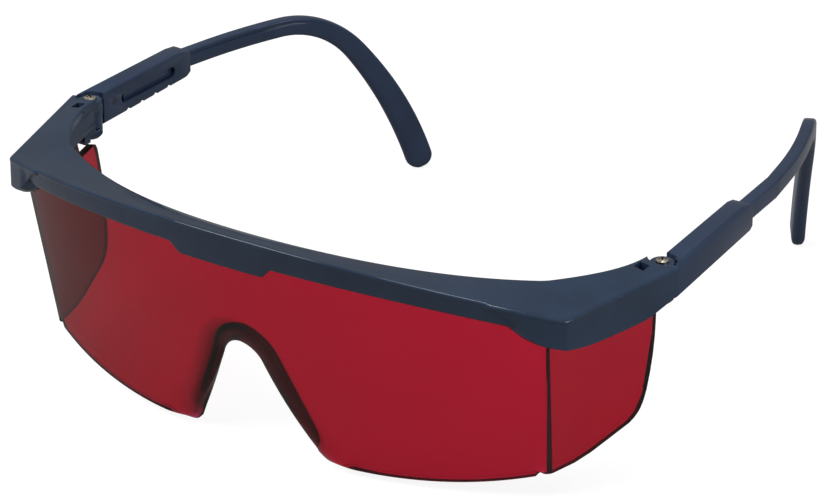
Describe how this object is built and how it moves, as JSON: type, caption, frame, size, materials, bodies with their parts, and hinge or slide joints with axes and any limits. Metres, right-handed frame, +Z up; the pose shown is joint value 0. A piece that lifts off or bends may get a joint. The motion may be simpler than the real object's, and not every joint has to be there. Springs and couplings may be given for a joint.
{
  "type": "laser safety glasses",
  "caption": "Wrap-around safety glasses: tinted one-piece lens with side shields, brow frame and folding temples that tilt and lengthen.",
  "frame": {"origin": "middle of the nose seat, the crown of the notch's flange", "axes": "X across the face to the wearer's left, +Y back towards the ears, +Z up"},
  "size_m": [0.1558, 0.166, 0.0555],
  "materials": {
    "frame_plastic": "glossy dark navy, slightly worn",
    "lens_tint": "clear deep red tint, polished",
    "screw_steel": "plated steel",
    "temple_plastic": "dark navy, half gloss",
    "pin_steel": "plain steel"
  },
  "bodies": {
    "frame": {"frame": "frame_plastic", "lens": "lens_tint", "hinge_screw_left": "screw_steel", "hinge_screw_right": "screw_steel"},
    "block_left": {"hinge_block_left": "temple_plastic"},
    "sleeve_left": {"sleeve_left": "temple_plastic", "pivot_pin_left": "pin_steel"},
    "arm_left": {"arm_left": "temple_plastic"},
    "block_right": {"hinge_block_right": "temple_plastic"},
    "sleeve_right": {"sleeve_right": "temple_plastic", "pivot_pin_right": "pin_steel"},
    "arm_right": {"arm_right": "temple_plastic"}
  },
  "joints": [
    {"name": "fold_left", "type": "hinge", "parent": "frame", "child": "block_left", "pos_m": [-0.0733, 0.04518, 0.01761], "axis": [0, 0, -1], "range_deg": [0, 86]},
    {"name": "tilt_left", "type": "hinge", "parent": "block_left", "child": "sleeve_left", "pos_m": [-0.07308, 0.05217, 0.01566], "axis": [0.9995, -0.0314, 0], "range_deg": [-6, 6]},
    {"name": "slide_left", "type": "slide", "parent": "sleeve_left", "child": "arm_left", "axis": [0.0314, 0.9995, 0], "range_m": [0, 0.0144]},
    {"name": "fold_right", "type": "hinge", "parent": "frame", "child": "block_right", "pos_m": [0.0733, 0.04518, 0.01761], "axis": [0, 0, 1], "range_deg": [-2.5, 68]},
    {"name": "tilt_right", "type": "hinge", "parent": "block_right", "child": "sleeve_right", "pos_m": [0.07278, 0.05216, 0.01566], "axis": [0.9972, 0.075, 0], "range_deg": [-6, 6]},
    {"name": "slide_right", "type": "slide", "parent": "sleeve_right", "child": "arm_right", "axis": [-0.075, 0.9972, 0], "range_m": [-0.0144, 0]}
  ]
}
